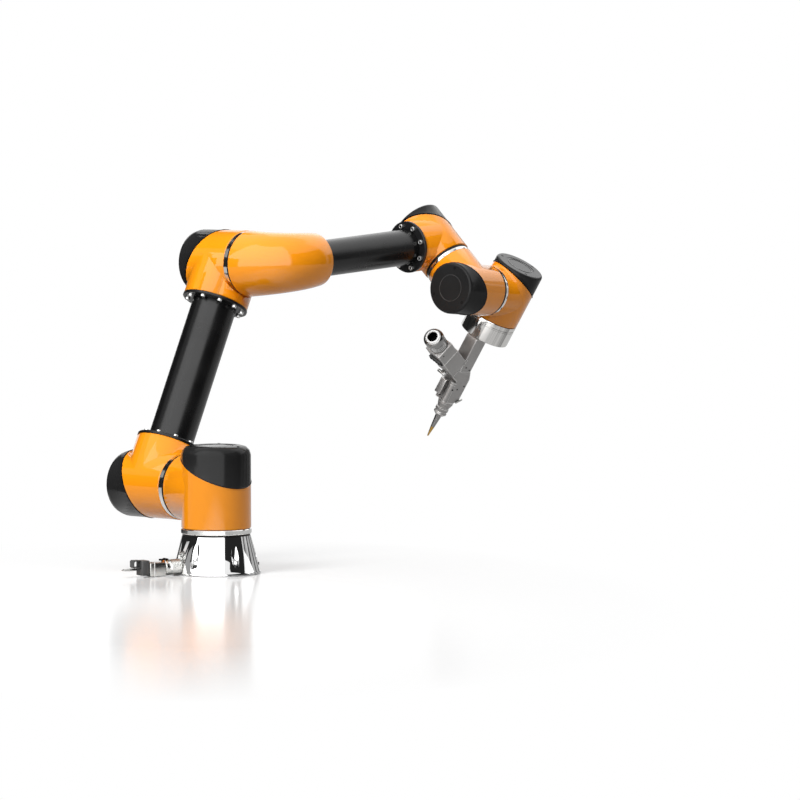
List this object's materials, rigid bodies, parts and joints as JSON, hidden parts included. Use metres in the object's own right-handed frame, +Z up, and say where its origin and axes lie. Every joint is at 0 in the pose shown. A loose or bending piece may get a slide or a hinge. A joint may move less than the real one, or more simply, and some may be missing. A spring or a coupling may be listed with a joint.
{
  "type": "industrial robot arm with laser welding head",
  "caption": "Jointed industrial robot arm on a chromed pedestal: orange joint housings with slanted black caps, black link tubes and a laser welding head at the wrist.",
  "frame": {"origin": "centre of the pedestal's flat underside, the face that is bolted down", "axes": "+Z up along the base joint's axis, +Y from the column to the shoulder joint, +X the side to which the upper arm leans at rest"},
  "size_m": [0.8867, 0.326, 0.6022],
  "materials": {
    "orange_paint": "gloss orange enamel",
    "black_cap": "satin black plastic and rubber",
    "black_metal": "black anodised",
    "polished_ring": "polished",
    "chrome": "mirror polished",
    "flange_metal": "fine turned and polished",
    "head_aluminium": "warm grey anodised",
    "steel": "turned steel",
    "dark_metal": "dark grey",
    "brass": "turned brass"
  },
  "bodies": {
    "base": {"pedestal": "chrome", "base_collar": "black_cap", "base_ring": "polished_ring", "lead_socket": "steel", "plug_ring": "steel", "plug_body": "steel", "plug_hood": "dark_metal", "plug_latch": "dark_metal", "plug_tab": "steel"},
    "column": {"shoulder_housing": "orange_paint", "shoulder_cap": "black_cap", "shoulder_seal": "black_cap"},
    "upper_arm": {"shoulder_ring": "polished_ring", "lower_housing": "orange_paint", "lower_cap": "black_cap", "lower_flange": "black_metal", "upper_arm_tube": "black_metal", "upper_flange": "black_metal", "elbow_housing": "orange_paint", "elbow_cap": "black_cap", "elbow_ring": "polished_ring"},
    "forearm": {"elbow_seal": "black_cap", "forearm_shell": "orange_paint", "shell_collar": "black_cap", "forearm_tube": "black_metal", "wrist_flange": "black_metal", "wrist_housing": "orange_paint", "wrist_cap": "black_cap", "wrist_1_seal": "black_cap"},
    "wrist_1": {"wrist_1_ring": "polished_ring", "wrist_1_housing": "orange_paint", "wrist_1_cap": "black_cap", "wrist_2_seal": "black_cap"},
    "wrist_2": {"wrist_2_ring": "polished_ring", "wrist_2_housing": "orange_paint", "wrist_2_cap": "black_cap"},
    "tool": {"tool_flange": "flange_metal", "bracket_bar": "head_aluminium", "head_body": "head_aluminium", "fibre_block": "head_aluminium", "fibre_sleeve": "head_aluminium", "fibre_socket": "steel", "focus_column": "head_aluminium", "side_module": "dark_metal", "nozzle_seat": "head_aluminium", "nozzle_collar": "steel", "nozzle_lance": "steel", "nozzle_tip": "brass", "cover_lever": "steel", "fitting_plate": "steel", "gas_fitting": "steel"}
  },
  "joints": [
    {"name": "base_turn", "type": "hinge", "parent": "base", "child": "column", "pos_m": [0, 0, 0.1398], "axis": [0, 0, 1], "range_deg": [-175, 175]},
    {"name": "shoulder", "type": "hinge", "parent": "column", "child": "upper_arm", "pos_m": [0, 0.1453, 0.1398], "axis": [0, 1, 0], "range_deg": [-119.75, 70.25]},
    {"name": "elbow", "type": "hinge", "parent": "upper_arm", "child": "forearm", "pos_m": [0.1701, 0.1453, 0.50878], "axis": [0, -1, 0], "range_deg": [-68.71, 191.29]},
    {"name": "wrist_1_turn", "type": "hinge", "parent": "forearm", "child": "wrist_1", "pos_m": [0.546, 0.0224, 0.5348], "axis": [0.0485, -0.712, -0.7005], "range_deg": [-163.54, 186.46]},
    {"name": "wrist_2_turn", "type": "hinge", "parent": "wrist_1", "child": "wrist_2", "pos_m": [0.55137, -0.05649, 0.45719], "axis": [0.9875, 0.1395, -0.0734], "range_deg": [-210.7, 59.3]},
    {"name": "wrist_3_turn", "type": "hinge", "parent": "wrist_2", "child": "tool", "pos_m": [0.66464, -0.04049, 0.44876], "axis": [-0.1334, 0.491, -0.8609], "range_deg": [-175, 175]}
  ]
}
